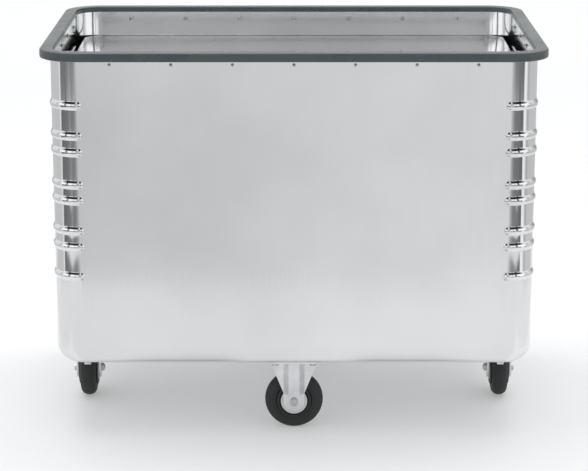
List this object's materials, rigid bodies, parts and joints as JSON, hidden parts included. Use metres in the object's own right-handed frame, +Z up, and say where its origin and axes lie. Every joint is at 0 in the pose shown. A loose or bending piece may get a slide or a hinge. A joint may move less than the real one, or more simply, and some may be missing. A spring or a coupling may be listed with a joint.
{
  "type": "spring-base box trolley",
  "caption": "Aluminium box trolley with beaded rounded ends, a plastic bumper rim, a sprung lifting platform, fixed castors at the sides and braked swivel castors at the ends.",
  "frame": {"origin": "on the floor under the middle of the box", "axes": "+X along the long side, towards the right end; -Y towards the front long wall; +Z up"},
  "size_m": [1.06, 0.695, 0.83],
  "materials": {
    "box_aluminium": "satin anodised sheet",
    "deck_aluminium": "bright rolled sheet",
    "profile_aluminium": "mill-finish profile",
    "bumper_plastic": "fine matt, slate grey",
    "rivet_aluminium": "plain blind rivet",
    "zinc_plated_steel": "bright zinc plating",
    "fastener_steel": "zinc-plated, slightly dull",
    "spring_steel": "drawn wire",
    "tyre_rubber": "matt dark grey rubber",
    "wheel_plastic": "moulded, dark grey",
    "bush_nylon": "light grey moulded",
    "shoe_plastic": "slippery black polymer",
    "buffer_rubber": "soft black"
  },
  "bodies": {
    "box": {"front_panel": "box_aluminium", "back_panel": "box_aluminium", "left_end_panel": "box_aluminium", "right_end_panel": "box_aluminium", "floor_pan": "box_aluminium", "bumper_rim": "bumper_plastic", "bumper_retainer": "profile_aluminium", "rim_rivets": "rivet_aluminium", "left_guide_rail": "profile_aluminium", "right_guide_rail": "profile_aluminium", "left_spring_hanger": "zinc_plated_steel", "right_spring_hanger": "zinc_plated_steel", "top_stops": "buffer_rubber", "floor_buffers": "buffer_rubber", "front_mounting_plate": "profile_aluminium", "rear_mounting_plate": "profile_aluminium", "left_mounting_plate": "profile_aluminium", "right_mounting_plate": "profile_aluminium", "front_fork": "zinc_plated_steel", "rear_fork": "zinc_plated_steel", "front_axle": "fastener_steel", "rear_axle": "fastener_steel", "castor_bolts": "fastener_steel", "castor_nuts": "fastener_steel", "left_swivel_plate": "zinc_plated_steel", "right_swivel_plate": "zinc_plated_steel", "left_kingpin": "fastener_steel", "right_kingpin": "fastener_steel", "left_springs": "spring_steel", "right_springs": "spring_steel"},
    "platform": {"platform_deck": "deck_aluminium", "deck_stiffeners": "profile_aluminium", "left_carrier": "profile_aluminium", "right_carrier": "profile_aluminium", "guide_shoes": "shoe_plastic"},
    "left_swivel": {"left_swivel_fork": "zinc_plated_steel", "left_ball_race": "zinc_plated_steel", "left_pedal_pin": "fastener_steel", "left_axle": "fastener_steel"},
    "left_pedal": {"left_brake_pedal": "zinc_plated_steel"},
    "right_swivel": {"right_swivel_fork": "zinc_plated_steel", "right_ball_race": "zinc_plated_steel", "right_pedal_pin": "fastener_steel", "right_axle": "fastener_steel"},
    "right_pedal": {"right_brake_pedal": "zinc_plated_steel"},
    "front_wheel": {"front_tyre": "tyre_rubber", "front_wheel_rim": "wheel_plastic", "front_wheel_bush": "bush_nylon"},
    "rear_wheel": {"rear_tyre": "tyre_rubber", "rear_wheel_rim": "wheel_plastic", "rear_wheel_bush": "bush_nylon"},
    "left_wheel": {"left_tyre": "tyre_rubber", "left_wheel_rim": "wheel_plastic", "left_wheel_bush": "bush_nylon"},
    "right_wheel": {"right_tyre": "tyre_rubber", "right_wheel_rim": "wheel_plastic", "right_wheel_bush": "bush_nylon"}
  },
  "joints": [
    {"name": "platform_slide", "type": "slide", "parent": "box", "child": "platform", "axis": [0, 0, 1], "range_m": [-0.35, 0], "stiffness_N_per_m": 2000, "springref_m": 0.12, "deforming": ["left_springs", "right_springs"]},
    {"name": "left_swivel_turn", "type": "hinge", "parent": "box", "child": "left_swivel", "pos_m": [-0.463, 0, 0.1465], "axis": [0, 0, 1], "continuous": true},
    {"name": "left_pedal_press", "type": "hinge", "parent": "left_swivel", "child": "left_pedal", "pos_m": [-0.463, -0.104, 0.121], "axis": [1, 0, 0], "range_deg": [0, 15]},
    {"name": "left_wheel_roll", "type": "hinge", "parent": "left_swivel", "child": "left_wheel", "pos_m": [-0.463, -0.04, 0.0625], "axis": [1, 0, 0], "continuous": true},
    {"name": "right_swivel_turn", "type": "hinge", "parent": "box", "child": "right_swivel", "pos_m": [0.463, 0, 0.1465], "axis": [0, 0, 1], "continuous": true},
    {"name": "right_pedal_press", "type": "hinge", "parent": "right_swivel", "child": "right_pedal", "pos_m": [0.463, -0.104, 0.121], "axis": [1, 0, 0], "range_deg": [0, 15]},
    {"name": "right_wheel_roll", "type": "hinge", "parent": "right_swivel", "child": "right_wheel", "pos_m": [0.463, -0.04, 0.0625], "axis": [1, 0, 0], "continuous": true},
    {"name": "front_wheel_roll", "type": "hinge", "parent": "box", "child": "front_wheel", "pos_m": [0, -0.265, 0.0625], "axis": [0, 1, 0], "continuous": true},
    {"name": "rear_wheel_roll", "type": "hinge", "parent": "box", "child": "rear_wheel", "pos_m": [0, 0.265, 0.0625], "axis": [0, 1, 0], "continuous": true}
  ]
}
